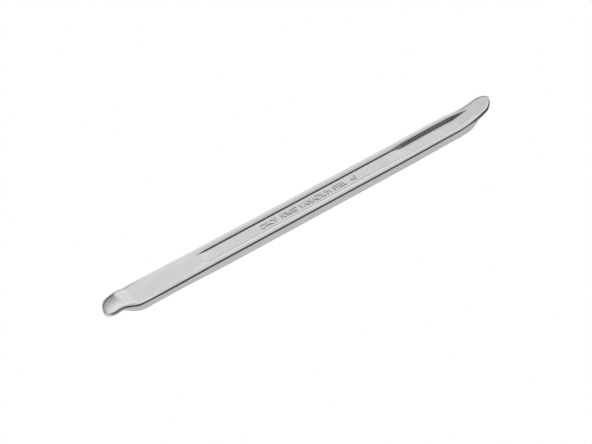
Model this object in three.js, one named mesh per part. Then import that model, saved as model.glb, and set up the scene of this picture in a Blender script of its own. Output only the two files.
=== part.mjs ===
// Double-ended tyre lever, drop forged from one bar of steel.
// Millimetres, +Z up. The bar lies along X on its underside at Z = 0, with its hooked
// scoop at -X and its upturned spoon at +X, and it is alike on both sides of Y = 0.
// One end is slid under the tyre bead and the bar is pulled down to lift the bead out.

import * as THREE from 'three';
import { ParametricGeometry } from 'three/addons/geometries/ParametricGeometry.js';
import { mergeVertices } from 'three/addons/utils/BufferGeometryUtils.js';

// ---------- The bar ----------
const LENGTH = 400;
const WIDTH = 24.5;
const THICKNESS = 8.6;
const EDGE_RADIUS = 1.5;
const THIN_EDGE = 0.45;           // largest share of a thin blade that its rounding takes
const TIP_EDGE = 0.8;             // and largest share of half its width

// ---------- The recess along both faces, between two rims ----------
const RIM_WIDTH = 5.35;           // from the side of the bar in to the recess
const WALL_RUN = 1.25;            // how far the recess wall leans in
const RECESS_DEPTH = 1.1;
const RECESS_RAMP = 10;           // length over which a recess runs out

// ---------- The hooked scoop, distances from its tip ----------
const HOOK_PAD = 92;              // flat blade between the tip and the upper recess
const HOOK_LIFT_START = 27;       // the blade starts to lift here
const HOOK_CREST = 13;            // it is highest here, and then hooks down
const HOOK_LIFT = 3.2;
const HOOK_DROP = 2.8;            // how far the tip ends below the blade's flat face
const HOOK_BEND_POWER = 2.7;
const HOOK_THICKNESS = 2;
const HOOK_DISH = 2.8;
const HOOK_DISH_EDGE = 15.5;      // the dish begins here
const HOOK_DISH_DEEP = 12;        // and has its full depth from here
const HOOK_HEEL = 31.5;           // the underside leaves the flat here
const HOOK_HEEL_RUN = 20.5;
const HOOK_HEEL_RISE = 9.6;
const HOOK_HEEL_POWER = 1.8;
const HOOK_TAPER = 30;            // the sides start to close in here
const HOOK_TAPER_END = 3;
const HOOK_NARROWING = 3.4;       // what each side loses between the bar and the tip
const HOOK_ROUND = 6.5;           // length of the rounded tip
const HOOK_FLARE = 0.5;           // what each side of the flat blade gains over the bar
const HOOK_FLARE_START = 105;
const HOOK_FLARE_FULL = 45;
const HOOK_DRAFT = 0.9;           // how far the blade's sides lean in under it
const HOOK_DRAFT_START = 110;
const HOOK_DRAFT_FULL = 60;

// ---------- The upturned spoon, distances from its tip ----------
const SPOON_SWEEP = 0.6;          // slow rise of the upper face towards the spoon
const SPOON_SWEEP_START = 110;
const SPOON_SWEEP_FULL = 50;
const SPOON_LIFT_START = 34;
const SPOON_LIFT = 9;             // how far the tip ends above that
const SPOON_BEND_POWER = 2.5;
const SPOON_THICKNESS = 2;
const SPOON_HEEL = 31.2;
const SPOON_HEEL_RUN = 15;
const SPOON_HEEL_RISE = 10.2;
const SPOON_HEEL_POWER = 2.3;
const SPOON_TAPER = 40;
const SPOON_NARROWING = 3.5;
const SPOON_ROUND = 9.5;
const SPOON_DRAFT = 0.7;

// ---------- The deep channel that runs from the upper recess into the spoon ----------
const CHANNEL_DEPTH = 3;
const CHANNEL_RIM_WIDTH = 4.55;   // the channel is wider than the recess that opens into it
const CHANNEL_START = 106;        // the recess floor starts to drop here
const CHANNEL_FULL = 90;          // and is at its deepest from here
const CHANNEL_RISE = 37;          // to here
const CHANNEL_END = 18;           // where it comes out into the blade
const UNDER_RECESS_END = 110;     // the lower recess stops short of both ends

// ---------- Fineness of the mesh ----------
const FLOOR_STEPS = 3;
const LIP_STEPS = 4;
const EDGE_STEPS = 3;
const TIP_STEPS = 9;
const BEND_STEP = 1.5;            // spacing of the sections where the bar bends
const RAMP_STEPS = 8;

const HALF_LENGTH = LENGTH / 2;
const HALF_WIDTH = WIDTH / 2;

/** 0 at `from`, 1 at `to`, eased at both, whichever of the two is the larger. */
function ease(value, from, to) {
  const share = Math.min(1, Math.max(0, (value - from) / (to - from)));
  return share * share * (3 - 2 * share);
}

/** The smaller of two heights, with the corner between them filled over `blend`. */
function softMin(first, second, blend) {
  const overlap = Math.max(0, blend - Math.abs(first - second)) / blend;
  return Math.min(first, second) - overlap * overlap * blend / 4;
}

const fromHook = (x) => x + HALF_LENGTH;
const fromSpoon = (x) => HALF_LENGTH - x;

/** Share of its width left to an end whose tip is rounded like an ellipse. */
const rounded = (fromTip, round) => Math.sqrt(1 - Math.max(0, 1 - fromTip / round) ** 2);

/** Half the width of the upper face: it flares at the hook and closes in towards both tips. */
function halfWidth(x) {
  const flare = HOOK_FLARE * ease(fromHook(x), HOOK_FLARE_START, HOOK_FLARE_FULL);
  const hook = HOOK_NARROWING * ease(fromHook(x), HOOK_TAPER, HOOK_TAPER_END);
  const spoon = SPOON_NARROWING * Math.max(0, 1 - fromSpoon(x) / SPOON_TAPER);
  const half = HALF_WIDTH + flare - hook - spoon;
  return half * rounded(fromHook(x), HOOK_ROUND) * rounded(fromSpoon(x), SPOON_ROUND);
}

/** Share of its half width that the underside lacks: the sides of both ends lean in. */
function draft(x) {
  const hook = (HOOK_FLARE + HOOK_DRAFT) * ease(fromHook(x), HOOK_DRAFT_START, HOOK_DRAFT_FULL);
  const spoon = SPOON_DRAFT * ease(fromSpoon(x), SPOON_SWEEP_START, SPOON_SWEEP_FULL);
  return (hook + spoon) / HALF_WIDTH;
}

/** Height of the bar's upper edges above the underside. */
function rimHeight(x) {
  const lift = HOOK_LIFT * ease(fromHook(x), HOOK_LIFT_START, HOOK_CREST);
  const bend = Math.max(0, 1 - fromHook(x) / HOOK_CREST) ** HOOK_BEND_POWER;
  const spoon = SPOON_LIFT * Math.max(0, 1 - fromSpoon(x) / SPOON_LIFT_START) ** SPOON_BEND_POWER;
  const sweep = SPOON_SWEEP * ease(fromSpoon(x), SPOON_SWEEP_START, SPOON_SWEEP_FULL);
  return THICKNESS + lift - (HOOK_LIFT + HOOK_DROP) * bend + spoon + sweep;
}

/** Share of the way from the recess, at 0, to the full channel, at 1. */
const deepShare = (x) => ease(fromSpoon(x), CHANNEL_START, CHANNEL_FULL);

/** Distance from the middle of the bar to the lip of the recess or the channel. */
const lip = (x) => HALF_WIDTH - RIM_WIDTH + (RIM_WIDTH - CHANNEL_RIM_WIDTH) * deepShare(x);

/** Depth of the upper recess and of the channel that it opens into. */
function upperRecess(x) {
  const start = ease(fromHook(x), HOOK_PAD, HOOK_PAD + RECESS_RAMP);
  const deep = CHANNEL_DEPTH * ease(fromSpoon(x), CHANNEL_END, CHANNEL_RISE);
  return RECESS_DEPTH * start * (1 - deepShare(x)) + deep * deepShare(x);
}

function lowerRecess(x) {
  const start = ease(fromHook(x), HOOK_PAD, HOOK_PAD + RECESS_RAMP);
  const end = ease(fromSpoon(x), UNDER_RECESS_END, UNDER_RECESS_END + RECESS_RAMP);
  return RECESS_DEPTH * start * end;
}

/** Hollow of the hooked blade, deepest along the middle and gone at its edges. */
function dish(x, y) {
  const depth = HOOK_DISH * ease(fromHook(x), HOOK_DISH_EDGE, HOOK_DISH_DEEP);
  return depth * Math.max(0, halfWidth(x) ** 2 - y ** 2) / HALF_WIDTH ** 2;
}

/** Share of a recess's depth at a distance `out`: its lip is rounded, its foot is sharp. */
function wall(x, out) {
  const share = Math.min(1, Math.max(0, (lip(x) - out) / WALL_RUN));
  return 1 - Math.sqrt(1 - share ** 2);
}

function upperFace(x, out, y) {
  return rimHeight(x) - upperRecess(x) * wall(x, out) - dish(x, y);
}

/** The underside: flat, swept up behind each tip, and then level with the thin blade. */
function lowerFace(x, out, y) {
  const blade = rimHeight(x) - dish(x, y);
  const hookHeel = HOOK_HEEL_RISE
    * Math.max(0, (HOOK_HEEL - fromHook(x)) / HOOK_HEEL_RUN) ** HOOK_HEEL_POWER;
  const spoonHeel = SPOON_HEEL_RISE
    * Math.max(0, (SPOON_HEEL - fromSpoon(x)) / SPOON_HEEL_RUN) ** SPOON_HEEL_POWER;
  const hook = softMin(hookHeel, blade - HOOK_THICKNESS, HOOK_THICKNESS);
  const spoon = softMin(spoonHeel, blade - SPOON_THICKNESS, SPOON_THICKNESS);
  return (x < 0 ? hook : spoon) + lowerRecess(x) * wall(x, out);
}

/** Where a section has its corners, from the middle of the bar out to the flat of the rim. */
function corners(x) {
  const foot = lip(x) - WALL_RUN;
  const across = spread(0, foot, FLOOR_STEPS);
  const rounding = spread(0, Math.PI / 2, LIP_STEPS).map((turn) => lip(x) - WALL_RUN * Math.cos(turn));
  return [0, ...across, ...rounding, (lip(x) + HALF_WIDTH - EDGE_RADIUS) / 2];
}

/** One quarter of the section at x, from the middle out and round the edge to the side. */
function quarter(x, face, half, inward) {
  const thickness = upperFace(x, HALF_WIDTH, half) - lowerFace(x, HALF_WIDTH, half);
  const radius = Math.min(EDGE_RADIUS, THIN_EDGE * thickness, TIP_EDGE * half);
  const scale = (half - radius) / (HALF_WIDTH - EDGE_RADIUS);
  const points = corners(x).map((out) => [out * scale, face(x, out, out * scale)]);
  for (let step = 0; step <= EDGE_STEPS; step += 1) {
    const turn = (step / EDGE_STEPS) * Math.PI / 2;
    const y = half - radius + radius * Math.sin(turn);
    const drop = radius * (1 - Math.cos(turn));
    points.push([y, face(x, HALF_WIDTH, y) + inward * drop]);
  }
  return points;
}

/** The whole section at x, once round from the middle of the upper face by way of -Y. */
function section(x) {
  const upper = quarter(x, upperFace, halfWidth(x), -1);
  const lower = quarter(x, lowerFace, halfWidth(x) * (1 - draft(x)), 1);
  const mirror = ([y, z]) => [-y, z];
  return [
    ...upper.map(mirror),
    ...lower.map(mirror).toReversed(),
    ...lower.slice(1),
    ...upper.slice(1).toReversed(),
  ];
}

/** Values from one end of a stretch to the other, the first one left out. */
function spread(from, to, count) {
  return Array.from({ length: count }, (_, index) => from + (to - from) * (index + 1) / count);
}

/** Distances from a tip to the sections that round it, closer together towards the tip. */
function tipSections(round) {
  return spread(0, Math.PI / 2, TIP_STEPS).map((turn) => round * (1 - Math.cos(turn)));
}

/** The places along the bar that get a section, from the hooked tip to the spoon's. */
function stations() {
  const hookBend = Math.ceil((HOOK_HEEL - HOOK_ROUND) / BEND_STEP);
  const spoonBend = Math.ceil((CHANNEL_RISE - SPOON_ROUND) / BEND_STEP);
  const hook = [
    ...tipSections(HOOK_ROUND),
    ...spread(HOOK_ROUND, HOOK_HEEL, hookBend),
    HOOK_PAD,
    ...spread(HOOK_PAD, HOOK_PAD + RECESS_RAMP, RAMP_STEPS),
  ];
  const spoon = [
    ...tipSections(SPOON_ROUND),
    ...spread(SPOON_ROUND, CHANNEL_RISE, spoonBend),
    ...spread(CHANNEL_FULL, CHANNEL_START, RAMP_STEPS),
    ...spread(UNDER_RECESS_END, UNDER_RECESS_END + RECESS_RAMP, RAMP_STEPS),
    CHANNEL_FULL,
    UNDER_RECESS_END,
  ];
  spoon.sort((first, second) => second - first);
  return [
    ...hook.map((distance) => distance - HALF_LENGTH),
    ...spoon.map((distance) => HALF_LENGTH - distance),
  ];
}

/** A closed skin through the sections, drawn to a point at each tip. */
function barGeometry() {
  const places = stations();
  const sections = places.map(section);
  const around = sections[0].length;
  const rows = places.length + 1;
  const tip = (x, near) => {
    const middle = (upperFace(near, 0, 0) + lowerFace(near, 0, 0)) / 2;
    return new THREE.Vector3(x, 0, middle);
  };
  const tips = [tip(-HALF_LENGTH, places[0]), tip(HALF_LENGTH, places.at(-1))];
  const skin = new ParametricGeometry((turn, along, target) => {
    const row = Math.round(along * rows);
    if (row === 0 || row === rows) {
      target.copy(tips[row === 0 ? 0 : 1]);
      return;
    }
    const [y, z] = sections[row - 1][Math.round(turn * around) % around];
    target.set(places[row - 1], y, z);
  }, around, rows);
  return closed(skin);
}

/** Joins the seam and the tips of a skin and leaves out the triangles that shrank to a line. */
function closed(skin) {
  skin.deleteAttribute('normal');
  skin.deleteAttribute('uv');
  const merged = mergeVertices(skin);
  const index = merged.index.array;
  const kept = [];
  for (let corner = 0; corner < index.length; corner += 3) {
    const [a, b, c] = index.slice(corner, corner + 3);
    if (a !== b && b !== c && c !== a) {
      kept.push(a, b, c);
    }
  }
  merged.setIndex(kept);
  merged.computeVertexNormals();
  return merged;
}

const steel = new THREE.MeshStandardMaterial({ color: 0xc9cacc, roughness: 0.3, metalness: 0.95 });
const lever = new THREE.Mesh(barGeometry(), steel);
lever.name = 'forged_lever';

const model = new THREE.Group();
model.add(lever);

export default model;
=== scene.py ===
# %% [markdown]
# # A forged tyre lever
# The real tool is one bar of steel, hammered hot between two dies, trimmed and plated. It has
# no joints and no second piece, so the whole lesson is about one good surface: a section that
# changes along the bar. We load the measured model first, because every size here follows it.

# %% Load the frame
import math

import bmesh
import bpy
from mathutils import Matrix, Vector


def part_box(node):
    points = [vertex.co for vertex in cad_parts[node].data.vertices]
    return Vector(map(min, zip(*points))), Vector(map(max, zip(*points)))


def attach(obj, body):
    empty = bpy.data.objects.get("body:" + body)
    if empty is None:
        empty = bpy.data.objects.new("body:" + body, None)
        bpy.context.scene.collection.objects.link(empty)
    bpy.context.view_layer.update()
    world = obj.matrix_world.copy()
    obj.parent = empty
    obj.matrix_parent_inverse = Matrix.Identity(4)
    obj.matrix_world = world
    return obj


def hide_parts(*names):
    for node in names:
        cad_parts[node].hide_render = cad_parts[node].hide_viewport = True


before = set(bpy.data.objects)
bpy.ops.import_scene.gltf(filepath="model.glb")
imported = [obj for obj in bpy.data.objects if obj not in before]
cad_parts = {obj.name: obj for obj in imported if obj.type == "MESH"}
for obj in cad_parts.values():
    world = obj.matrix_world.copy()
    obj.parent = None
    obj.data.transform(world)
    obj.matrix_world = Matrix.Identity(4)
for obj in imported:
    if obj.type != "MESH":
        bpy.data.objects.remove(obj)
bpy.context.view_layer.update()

MM = 0.001
low, high = (Vector(corner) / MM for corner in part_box("forged_lever"))
LENGTH = high.x - low.x
WIDEST = high.y - low.y
print(f"The lever is {LENGTH:.1f} mm long, {WIDEST:.1f} mm wide and {high.z:.1f} mm high")

# %% [markdown]
# ## Camera
# The lever lies across the picture on a diagonal. A long lens from a metre and a half away
# keeps its two long edges almost parallel, as in a catalogue. The lens looks slightly past the
# middle of the bar, so the tool sits a little above the centre of the picture.

# %% Camera
CAMERA_AZIMUTH = math.radians(-38.52)
CAMERA_ELEVATION = math.radians(43.0)
CAMERA_DISTANCE = 1.5966
SENSOR_WIDTH = 36.0
LENS = 118.58
BAR_THICKNESS = 8.6
ASIDE = (0.00865, 0.01642)     # metres from the middle of the view to the middle of the bar

toward_camera = Vector((
    math.sin(CAMERA_AZIMUTH) * math.cos(CAMERA_ELEVATION),
    -math.cos(CAMERA_AZIMUTH) * math.cos(CAMERA_ELEVATION),
    math.sin(CAMERA_ELEVATION),
))
turn = (-toward_camera).to_track_quat("-Z", "Y")
right, up = turn @ Vector((1, 0, 0)), turn @ Vector((0, 1, 0))
bar_middle = Vector((0, 0, BAR_THICKNESS * MM))

camera_data = bpy.data.cameras.new("camera")
camera_data.lens = LENS
camera_data.sensor_width = SENSOR_WIDTH
camera_data.dof.use_dof = False
camera = bpy.data.objects.new("camera", camera_data)
camera.location = bar_middle + CAMERA_DISTANCE * toward_camera - ASIDE[0] * right - ASIDE[1] * up
camera.rotation_mode = "QUATERNION"
camera.rotation_quaternion = turn
bpy.context.collection.objects.link(camera)
bpy.context.scene.camera = camera
print("The camera stands at", [round(value, 3) for value in camera.location])

# %% [markdown]
# ## Shader arithmetic
# A finish is easiest to read as a sum, so a socket is wrapped in a small class that knows how to
# add and multiply. Every other node is made by one method: its kind, its settings, its inputs.

# %% Shader arithmetic
class Value:
    """A number that changes over a surface."""

    def __init__(self, nodes, socket):
        self.nodes = nodes
        self.socket = socket

    def maths(self, operation, first, second):
        made = self.nodes.node("ShaderNodeMath", {"operation": operation}, {0: first, 1: second})
        return Value(self.nodes, made.outputs[0])

    def __add__(self, other):
        return self.maths("ADD", self, other)

    def __sub__(self, other):
        return self.maths("SUBTRACT", self, other)

    def __rsub__(self, other):
        return self.maths("SUBTRACT", other, self)

    def __mul__(self, other):
        return self.maths("MULTIPLY", self, other)

    def __pow__(self, other):
        return self.maths("POWER", self, other)

    __radd__ = __add__
    __rmul__ = __mul__


class Nodes:
    """The node tree of a material or of the world, emptied and ready to be filled."""

    def __init__(self, tree):
        self.tree = tree
        tree.nodes.clear()

    def node(self, kind, settings=None, inputs=None):
        made = self.tree.nodes.new(kind)
        for name, value in (settings or {}).items():
            setattr(made, name, value)
        for name, value in (inputs or {}).items():
            if isinstance(value, Value):
                self.tree.links.new(value.socket, made.inputs[name])
            else:
                made.inputs[name].default_value = value
        return made

    def value(self, kind, settings=None, inputs=None, output=0):
        return Value(self, self.node(kind, settings, inputs).outputs[output])

    def ease(self, value, start, end):
        """0 where the value is `start`, 1 where it is `end`, eased at both."""
        settings = {"interpolation_type": "SMOOTHSTEP"}
        return self.value("ShaderNodeMapRange", settings, {0: value, 1: start, 2: end})


print("Shader arithmetic is ready")

# %% [markdown]
# ## Studio
# Bright metal shows little of itself and much of the room. Here one large soft light stands
# behind and above the lever, and the room fades to dark towards the camera. So the upper faces
# come out light, the rounded near edges draw a dark line, and the sides pick up the pale floor.
# Three faint panels low behind the camera keep the top from going black when it is seen from
# the other side. All of it is painted on the world by direction, which gives the softest edge.

# %% Studio
WHITE = (1, 1, 1, 1)
SOFT_LIGHT = Vector((0, 0.88, 0.475)).normalized()
SOFT_LIGHT_POWER = 1.26
SOFT_LIGHT_FALL = 5
BACK_PANELS = ((-0.75, -0.6, 0.28), (0, -0.96, 0.28), (0.75, -0.6, 0.28))
PANEL_GLOW = 0.45
PANEL_EDGE = (0.94, 0.985)     # cosine of the angle from a panel's middle
ROOM_GLOW = 0.03
HORIZON_SHARE = 0.2            # the light is this dim at the horizon
HORIZON_TOP = 0.25             # and has its full power above this height
LEFT_END = (-0.9, -0.3)        # the light fades out towards its left end
LEFT_SHARE = 0.2               # to this share of its power
FLOOR_GLOW = 0.83              # what the metal sees of the floor; to the camera it is white
FLOOR_SIZE = 6.0
FLOOR_DROP = 0.0003            # the floor lies just below the tool, so the two don't touch

world = bpy.data.worlds.new("studio")
bpy.context.scene.world = world
world.use_nodes = True
room = Nodes(world.node_tree)
direction = room.value("ShaderNodeTexCoord", output="Generated")
parts = room.node("ShaderNodeSeparateXYZ", inputs={0: direction})
along, height = Value(room, parts.outputs["X"]), Value(room, parts.outputs["Z"])
across = room.value(
    "ShaderNodeVectorMath", {"operation": "MULTIPLY"}, {0: direction, 1: (0, 1, 1)})
across = room.value("ShaderNodeVectorMath", {"operation": "NORMALIZE"}, {0: across})
facing = room.value(
    "ShaderNodeVectorMath", {"operation": "DOT_PRODUCT"}, {0: across, 1: SOFT_LIGHT}, "Value")
glow = (0.5 + 0.5 * facing) ** SOFT_LIGHT_FALL * SOFT_LIGHT_POWER
glow = glow * (HORIZON_SHARE + (1 - HORIZON_SHARE) * room.ease(height, 0, HORIZON_TOP))
glow = glow * (LEFT_SHARE + (1 - LEFT_SHARE) * room.ease(along, *LEFT_END)) + ROOM_GLOW
for panel in BACK_PANELS:
    toward = room.value(
        "ShaderNodeVectorMath", {"operation": "DOT_PRODUCT"}, {0: direction, 1: panel}, "Value")
    glow = glow + PANEL_GLOW * room.ease(toward, *PANEL_EDGE)
seen = room.value("ShaderNodeLightPath", output="Is Camera Ray")
strength = seen + (1 - seen) * glow
background = room.node("ShaderNodeBackground", inputs={"Color": WHITE, "Strength": strength})
room.node("ShaderNodeOutputWorld", inputs={"Surface": Value(room, background.outputs[0])})

bpy.context.scene.view_settings.view_transform = "Standard"


def plain_floor():
    """A pale square that glows a little, so that the tool lies in even light."""
    mesh = bpy.data.meshes.new("floor")
    sheet = bmesh.new()
    bmesh.ops.create_grid(sheet, x_segments=1, y_segments=1, size=FLOOR_SIZE / 2)
    sheet.to_mesh(mesh)
    sheet.free()
    floor = bpy.data.objects.new("floor", mesh)
    floor.location.z = -FLOOR_DROP
    bpy.context.collection.objects.link(floor)
    finish = bpy.data.materials.new("floor_paint")
    finish.use_nodes = True
    paint = Nodes(finish.node_tree)
    seen = paint.value("ShaderNodeLightPath", output="Is Camera Ray")
    glow = seen + (1 - seen) * FLOOR_GLOW
    shader = paint.node("ShaderNodeEmission", inputs={"Color": WHITE, "Strength": glow})
    paint.node("ShaderNodeOutputMaterial", inputs={"Surface": Value(paint, shader.outputs[0])})
    mesh.materials.append(finish)
    return floor


floor = plain_floor()
print("The floor is", FLOOR_SIZE, "m square")

# %% [markdown]
# ## Sizes of the forging
# All in millimetres, as a die maker would write them. A distance at an end counts from its tip.
# A pair is a stretch along the bar: something is nil at its first place and full at its second.

# %% Sizes of the forging
EDGE_RADIUS = 1.5
THIN_EDGE_TOP = 0.88           # share of a thin blade that its upper rounding may take
THIN_EDGE_UNDER = 0.12         # and its lower one
TIP_EDGE = 0.8                 # share of the half width that a rounding may take
TIP_EDGE_RADIUS = 2.1
TIP_EDGE_REACH = (34, 22)
RIM_CREST = 9.3                # from the middle line out to the highest line of a rim
RIM_CROWN = 0.32
RIM_CROWN_HOOK = (30, 55)
RIM_CROWN_SPOON = (16, 32)
INNER_CROWN = 0.16
LIP = 6.9                      # from the middle line out to the edge of the recess
WALL_RUN = 1.25
CHANNEL_WALL_RUN = 1.6
RECESS_DEPTH = 0.85
RECESS_RAMP = 10
BURR_RISE = 0.26
BURR_RUN = 1.3
BURR_HOOK = (50, 24)
BURR_SPOON = (34, 20)
HOOK_DRAFT = 0.9
HOOK_DRAFT_REACH = (110, 60)
SPOON_DRAFT = 0.7
SPOON_DRAFT_REACH = (110, 50)

HOOK_PAD = 92
HOOK_LIFT_START = 27
HOOK_CREST = 13
HOOK_LIFT = 3.2
HOOK_DROP = 2.8
HOOK_BEND_POWER = 2.7
HOOK_THICKNESS = 2.0
HOOK_DISH = 3.2
HOOK_DISH_EDGE = 15.5
HOOK_DISH_DEEP = 12
HOOK_HEEL = 31.5
HOOK_HEEL_RUN = 20.5
HOOK_HEEL_RISE = 9.6
HOOK_HEEL_POWER = 1.8
HOOK_TAPER = (30, 3)
HOOK_NARROWING = 3.4
HOOK_ROUND = 6.5
HOOK_FLARE = 0.5
HOOK_FLARE_REACH = (105, 45)

SPOON_SWEEP = 0.6
SPOON_SWEEP_REACH = (110, 50)
SPOON_LIFT_START = 34
SPOON_LIFT = 9.0
SPOON_BEND_POWER = 2.5
SPOON_THICKNESS = 2.2
SPOON_HEEL = 31.2
SPOON_HEEL_RUN = 15
SPOON_HEEL_RISE = 10.2
SPOON_HEEL_POWER = 2.3
SPOON_TAPER = 40
SPOON_NARROWING = 3.5
SPOON_ROUND = 9.5

CHANNEL_DEPTH = 2.8
CHANNEL_LIP = 7.7
CHANNEL_START = 106
CHANNEL_FULL = 90
CHANNEL_RISE = 37
CHANNEL_END = 18
UNDER_RECESS_END = 110
NECK_BLEND = 1.0

HALF_LENGTH = LENGTH / 2
HALF_WIDTH = WIDEST / 2 - HOOK_FLARE
print(f"The web lies {RECESS_DEPTH} mm below rims that are {HALF_WIDTH - LIP:.1f} mm wide")

# %% [markdown]
# ## The run of the surfaces
# Each face of the bar is one height that depends on the place along it and on the distance from
# its middle line. Small functions for the rim, the recess and the dish of each blade add up to
# the upper and the lower face. `ease` does the blending, as a die maker's file would.

# %% The run of the surfaces
def ease(value, start, end):
    share = min(1, max(0, (value - start) / (end - start)))
    return share * share * (3 - 2 * share)


def soft_min(first, second, blend):
    """The smaller of two heights, with the corner between them filled."""
    overlap = max(0, blend - abs(first - second)) / blend
    return min(first, second) - overlap * overlap * blend / 4


def from_hook(x):
    return x + HALF_LENGTH


def from_spoon(x):
    return HALF_LENGTH - x


def rounded(from_tip, radius):
    """Share of the width that is left where a tip is rounded."""
    return math.sqrt(1 - max(0, 1 - from_tip / radius) ** 2)


def half_width(x):
    hook, spoon = from_hook(x), from_spoon(x)
    half = HALF_WIDTH + HOOK_FLARE * ease(hook, *HOOK_FLARE_REACH)
    half -= HOOK_NARROWING * ease(hook, *HOOK_TAPER)
    half -= SPOON_NARROWING * max(0, 1 - spoon / SPOON_TAPER)
    return half * rounded(hook, HOOK_ROUND) * rounded(spoon, SPOON_ROUND)


def draft(x):
    """Share of its half width that the underside lacks: the sides of both ends lean in."""
    hook = (HOOK_FLARE + HOOK_DRAFT) * ease(from_hook(x), *HOOK_DRAFT_REACH)
    return (hook + SPOON_DRAFT * ease(from_spoon(x), *SPOON_DRAFT_REACH)) / HALF_WIDTH


def rim_height(x):
    """The upper edges: level, then up and over at the hook, and up at the spoon."""
    lift = HOOK_LIFT * ease(from_hook(x), HOOK_LIFT_START, HOOK_CREST)
    bend = max(0, 1 - from_hook(x) / HOOK_CREST) ** HOOK_BEND_POWER
    spoon = SPOON_LIFT * max(0, 1 - from_spoon(x) / SPOON_LIFT_START) ** SPOON_BEND_POWER
    sweep = SPOON_SWEEP * ease(from_spoon(x), *SPOON_SWEEP_REACH)
    return BAR_THICKNESS + lift - (HOOK_LIFT + HOOK_DROP) * bend + spoon + sweep


def hook_ramp(x):
    return ease(from_hook(x), HOOK_PAD, HOOK_PAD + RECESS_RAMP)


def deep_share(x):
    """0 along the shallow recess, 1 along the deep channel."""
    return ease(from_spoon(x), CHANNEL_START, CHANNEL_FULL)


def lip(x):
    return LIP + (CHANNEL_LIP - LIP) * deep_share(x)


def wall_run(x):
    return WALL_RUN + (CHANNEL_WALL_RUN - WALL_RUN) * deep_share(x)


def wall(x, out):
    """0 on the rim, 1 on the floor: the lip is well rounded, the foot is sharp."""
    share = min(1, max(0, (lip(x) - out) / wall_run(x)))
    return 1 - math.sqrt(1 - share ** 2)


def upper_recess(x, out):
    """How far the upper face lies below the rim: a shallow recess, then a deeper channel."""
    deep = CHANNEL_DEPTH * ease(from_spoon(x), CHANNEL_END, CHANNEL_RISE)
    depth = RECESS_DEPTH * hook_ramp(x) * (1 - deep_share(x)) + deep * deep_share(x)
    return depth * wall(x, out)


def lower_recess(x, out):
    end = ease(from_spoon(x), UNDER_RECESS_END, UNDER_RECESS_END + RECESS_RAMP)
    return RECESS_DEPTH * wall(x, out) * hook_ramp(x) * end


def crown(x, out):
    """The rims are slightly rounded: they fall away from their crest to both sides."""
    share = ease(from_hook(x), *RIM_CROWN_HOOK) * ease(from_spoon(x), *RIM_CROWN_SPOON)
    if out > RIM_CREST:
        return RIM_CROWN * share * ((out - RIM_CREST) / (HALF_WIDTH - RIM_CREST)) ** 2
    inner = min(1, (RIM_CREST - out) / (RIM_CREST - lip(x)))
    return INNER_CROWN * share * inner ** 2 * hook_ramp(x)


def burr(x, out):
    """The faint raised line along the edges of both blades, left by the grinding of them."""
    share = max(ease(from_hook(x), *BURR_HOOK), ease(from_spoon(x), *BURR_SPOON))
    edge = HALF_WIDTH - EDGE_RADIUS
    return BURR_RISE * share * min(1, max(0, (out - edge) / BURR_RUN + 1))


def edge_radius(x):
    """The edges of the bar are rounded, those of the two blades more."""
    share = max(ease(from_hook(x), *TIP_EDGE_REACH), ease(from_spoon(x), *TIP_EDGE_REACH))
    return EDGE_RADIUS + (TIP_EDGE_RADIUS - EDGE_RADIUS) * share


def dish(x, y):
    """The hollow of the hooked scoop, which ends inside its rounded edges."""
    depth = HOOK_DISH * ease(from_hook(x), HOOK_DISH_EDGE, HOOK_DISH_DEEP)
    reach = max(0, half_width(x) - edge_radius(x))
    return depth * max(0, reach ** 2 - y ** 2) / HALF_WIDTH ** 2


def upper_face(x, out, y):
    return rim_height(x) - upper_recess(x, out) - crown(x, out) - dish(x, y) + burr(x, out)


def lower_face(x, out, y):
    """Flat, swept up to a heel behind each tip, then level with the blade above it."""
    blade = rim_height(x) - dish(x, y)
    if x < 0:
        swept = max(0, (HOOK_HEEL - from_hook(x)) / HOOK_HEEL_RUN) ** HOOK_HEEL_POWER
        heel = soft_min(HOOK_HEEL_RISE * swept, blade - HOOK_THICKNESS, NECK_BLEND)
    else:
        swept = max(0, (SPOON_HEEL - from_spoon(x)) / SPOON_HEEL_RUN) ** SPOON_HEEL_POWER
        heel = soft_min(SPOON_HEEL_RISE * swept, blade - SPOON_THICKNESS, NECK_BLEND)
    return heel + lower_recess(x, out) + crown(x, out)


print(f"At its middle the bar's web is {upper_face(0, 0, 0) - lower_face(0, 0, 0):.1f} mm thick")

# %% [markdown]
# ## The bar
# One face with the outline of the first section is extruded again and again along the bar, and
# at each stop its corners move to the section of that place. Poking the two end faces closes
# the tips. Two vertex attributes ride along for the finish: how deep a point lies in a forged
# recess, and how far round an edge rounding it lies, which carries a painted highlight that
# lightens the rounded edges.

# %% The bar
FLOOR_POINTS = 8
WALL_POINTS = 10
ROUNDING_POINTS = 8
RIM_POINTS = 3
BURR_POINTS = 5
EDGE_POINTS = 10
TIP_SECTIONS = 30
BEND_STEP = 0.5
STRAIGHT_STEP = 3


def spread(start, end, count):
    """Values from one end of a stretch to the other, the first one left out."""
    return [start + (end - start) * (index + 1) / count for index in range(count)]


def outs(x):
    """Distances from the middle line to the points of a section, as far as the edge."""
    top, edge = lip(x), HALF_WIDTH - EDGE_RADIUS
    foot = top - wall_run(x)
    turns = spread(0, math.pi / 2, WALL_POINTS)
    rounding = [top - wall_run(x) * math.cos(angle) for angle in turns]
    return (
        [0]
        + spread(0, foot, FLOOR_POINTS)
        + rounding
        + spread(top, RIM_CREST, ROUNDING_POINTS)
        + spread(RIM_CREST, edge - BURR_RUN, RIM_POINTS)
        + spread(edge - BURR_RUN, edge, BURR_POINTS)[:-1]
    )


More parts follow.
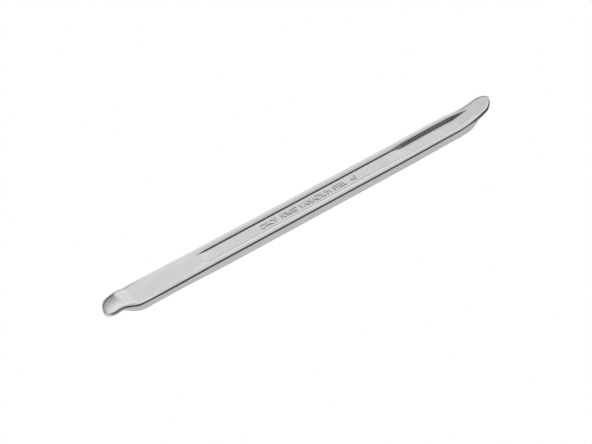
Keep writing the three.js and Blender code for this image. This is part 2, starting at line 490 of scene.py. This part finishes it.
def quarter(x, face, half, inward, thin_edge):
    """Points of a quarter section: (y, z, recess, edge)."""
    thickness = upper_face(x, HALF_WIDTH, half) - lower_face(x, HALF_WIDTH, half)
    radius = min(edge_radius(x), thin_edge * thickness, TIP_EDGE * half)
    scale = (half - radius) / (HALF_WIDTH - EDGE_RADIUS)
    points = []
    for out in outs(x):
        recess = wall(x, out)
        points.append((out * scale, face(x, out, out * scale), recess, 0))
    inner = HALF_WIDTH - EDGE_RADIUS
    for angle in [0] + spread(0, math.pi / 2, EDGE_POINTS):
        y = half - radius + radius * math.sin(angle)
        z = face(x, inner + EDGE_RADIUS * math.sin(angle), y)
        z += inward * radius * (1 - math.cos(angle))
        # share of the painted edge highlight, greatest halfway round the rounding
        points.append((y, z, 0, math.sin(2 * angle)))
    return points


def section(x):
    """The whole section, once round by way of the near side."""
    half = half_width(x)
    upper = quarter(x, upper_face, half, -1, THIN_EDGE_TOP)
    lower = quarter(x, lower_face, half * (1 - draft(x)), 1, THIN_EDGE_UNDER)

    def mirrored(points):
        return [(-y, z, recess, edge) for y, z, recess, edge in points]

    return mirrored(upper) + mirrored(lower)[::-1] + lower[1:] + upper[1:][::-1]


def tip_places(length):
    """Places in a rounded tip, closer together towards its end."""
    return [length * (1 - math.cos(angle)) for angle in spread(0, math.pi / 2, TIP_SECTIONS)]


def places():
    """Where the bar gets a section, from the hooked tip to the spoon's."""
    hook_bend = math.ceil((HOOK_HEEL - HOOK_ROUND) / BEND_STEP)
    spoon_bend = math.ceil((CHANNEL_RISE - SPOON_ROUND) / BEND_STEP)
    from_left = tip_places(HOOK_ROUND) + spread(HOOK_ROUND, HOOK_HEEL, hook_bend)
    from_right = tip_places(SPOON_ROUND) + spread(SPOON_ROUND, CHANNEL_RISE, spoon_bend)
    left = [distance - HALF_LENGTH for distance in from_left]
    right = [HALF_LENGTH - distance for distance in from_right][::-1]
    count = math.ceil((right[0] - left[-1]) / STRAIGHT_STEP)
    return left + spread(left[-1], right[0], count)[:-1] + right


def forge_bar():
    bar = bmesh.new()
    recess_layer = bar.verts.layers.float.new("recess")
    edge_highlight_layer = bar.verts.layers.float.new("edge")
    stops = places()

    def move(corners, x):
        for vert, (y, z, recess, edge) in zip(corners, section(x)):
            vert.co = Vector((x, y, z)) * MM
            vert[recess_layer] = recess
            vert[edge_highlight_layer] = edge

    corners = [bar.verts.new() for _ in section(stops[0])]
    move(corners, stops[0])
    first = face = bar.faces.new(corners)
    for x in stops[1:]:
        made = bmesh.ops.extrude_face_region(bar, geom=[face])["geom"]
        if face is not first:
            bmesh.ops.delete(bar, geom=[face], context="FACES_ONLY")
        face = next(item for item in made if isinstance(item, bmesh.types.BMFace))
        move([loop.vert for loop in face.loops], x)
    tips = bmesh.ops.poke(bar, faces=[first, face])["verts"]
    for vert in tips:
        vert.co.x = math.copysign(HALF_LENGTH * MM, vert.co.x)
    bmesh.ops.recalc_face_normals(bar, faces=bar.faces)
    for item in bar.faces:
        item.smooth = True
    mesh = bpy.data.meshes.new("lever_bar")
    bar.to_mesh(mesh)
    bar.free()
    piece = bpy.data.objects.new("lever_bar", mesh)
    bpy.context.collection.objects.link(piece)
    return piece


lever_bar = forge_bar()
print("The bar has", len(lever_bar.data.polygons), "faces in", len(places()), "sections")

# %% [markdown]
# ## Raised words
# The dies press words into the web. They are made as text, turned into a mesh, stretched to
# the place that each word takes, and sunk a little into the floor of the recess.

# %% Raised words
# Each word with where it starts, where it ends and how tall it is. 40 is the length in cm.
WORDS = (
    ("DROP", -47.0, -30.5, 5.0),
    ("FORGED", -26.8, -10.0, 5.0),
    ("VANADIUM", -7.5, 25.0, 5.8),
    ("STEEL", 28.0, 41.0, 5.0),
    ("40", 45.6, 52.6, 5.0),
)
WORD_HEIGHT = 0.45
WORD_SINK = 0.2
SAME_POINT = 1e-6


def raised_words():
    words = bmesh.new()
    for text, start, end, tall in WORDS:
        curve = bpy.data.curves.new("word", "FONT")
        curve.body = text
        curve.extrude = 0.5
        letters = bpy.data.objects.new("word", curve)
        mesh = bpy.data.meshes.new_from_object(letters)
        lows = Vector([min(vert.co[k] for vert in mesh.vertices) for k in range(3)])
        highs = Vector([max(vert.co[k] for vert in mesh.vertices) for k in range(3)])
        span = highs - lows
        tallness = WORD_HEIGHT + WORD_SINK
        place = Matrix.Translation((start, -tall / 2, upper_face(0, 0, 0) - WORD_SINK))
        size = Matrix.Diagonal(((end - start) / span.x, tall / span.y, tallness / span.z, 1))
        mesh.transform(Matrix.Scale(MM, 4) @ place @ size @ Matrix.Translation(-lows))
        words.from_mesh(mesh)
        bpy.data.objects.remove(letters)
        bpy.data.meshes.remove(mesh)
    bmesh.ops.remove_doubles(words, verts=words.verts, dist=SAME_POINT)
    bmesh.ops.recalc_face_normals(words, faces=words.faces)
    mesh = bpy.data.meshes.new("raised_words")
    words.to_mesh(mesh)
    words.free()
    piece = bpy.data.objects.new("raised_words", mesh)
    bpy.context.collection.objects.link(piece)
    return piece


words = raised_words()
print("The words have", len(words.data.polygons), "faces")

# %% [markdown]
# ## Satin plating
# Nickel and chrome over forged steel: a bright metal with a fine grain. The recess keeps the
# roughness of the die. The blades and rims are ground, so they carry fine lines along the bar.
# Their rounded edges get a painted highlight: their colour is made a little lighter.

# %% Satin plating
STEEL = (0.60, 0.605, 0.615)
GRAZING_TINT = (0.6, 0.6, 0.6, 1)
LINES_ACROSS = (40, 1500, 1500)
BUMP_HEIGHT = 0.00006
BUMP_STRENGTH = 0.35

plating = bpy.data.materials.new("satin_plating")
plating.use_nodes = True
steel = Nodes(plating.node_tree)
place = steel.value("ShaderNodeTexCoord", output="Object")
forged = steel.value("ShaderNodeAttribute", {"attribute_name": "recess"}, output="Fac")
# painted highlight: how strongly the rounded edges are lightened in colour
painted_edge_highlight = steel.value("ShaderNodeAttribute", {"attribute_name": "edge"}, output="Fac")
stretched = steel.value(
    "ShaderNodeVectorMath", {"operation": "MULTIPLY"}, {0: place, 1: LINES_ACROSS})
lines = steel.value("ShaderNodeTexNoise", inputs={"Vector": stretched, "Scale": 1, "Detail": 3})
cloud = steel.value("ShaderNodeTexNoise", inputs={"Vector": place, "Scale": 90, "Detail": 3})
mottle = steel.value("ShaderNodeTexNoise", inputs={"Vector": place, "Scale": 260, "Detail": 5})
grain = steel.value("ShaderNodeTexNoise", inputs={"Vector": place, "Scale": 2600, "Detail": 3})
ground = 1 - forged
tone = 0.87 + 0.12 * cloud + 0.08 * mottle + 0.03 * grain + 0.04 * ground * lines
# painted highlight: the colour is made lighter on the rounded edges of the bar
tone = tone + 0.08 * painted_edge_highlight
colour = steel.node(
    "ShaderNodeVectorMath", {"operation": "SCALE"}, {0: STEEL, "Scale": tone}).outputs[0]
roughness = 0.16 + 0.08 * mottle + 0.03 * forged + 0.03 * lines
height = (0.6 * mottle + 0.4 * grain + 0.4 * ground * lines) * BUMP_HEIGHT
bump = steel.node(
    "ShaderNodeBump", inputs={"Height": height, "Strength": BUMP_STRENGTH, "Distance": 1.0})
surface = steel.node("ShaderNodeBsdfPrincipled", inputs={
    "Base Color": Value(steel, colour),
    "Metallic": 1.0,
    "Specular Tint": GRAZING_TINT,
    "Roughness": roughness,
    "Normal": Value(steel, bump.outputs[0]),
})
steel.node("ShaderNodeOutputMaterial", inputs={"Surface": Value(steel, surface.outputs[0])})
for piece in (lever_bar, words):
    piece.data.materials.append(plating)
print("Plated:", lever_bar.name, "and", words.name)

# %% [markdown]
# ## Hand over
# The two meshes stand for the one forging of the measured model.

# %% Hand over
for piece in (lever_bar, words):
    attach(piece, "root")
    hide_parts("forged_lever")
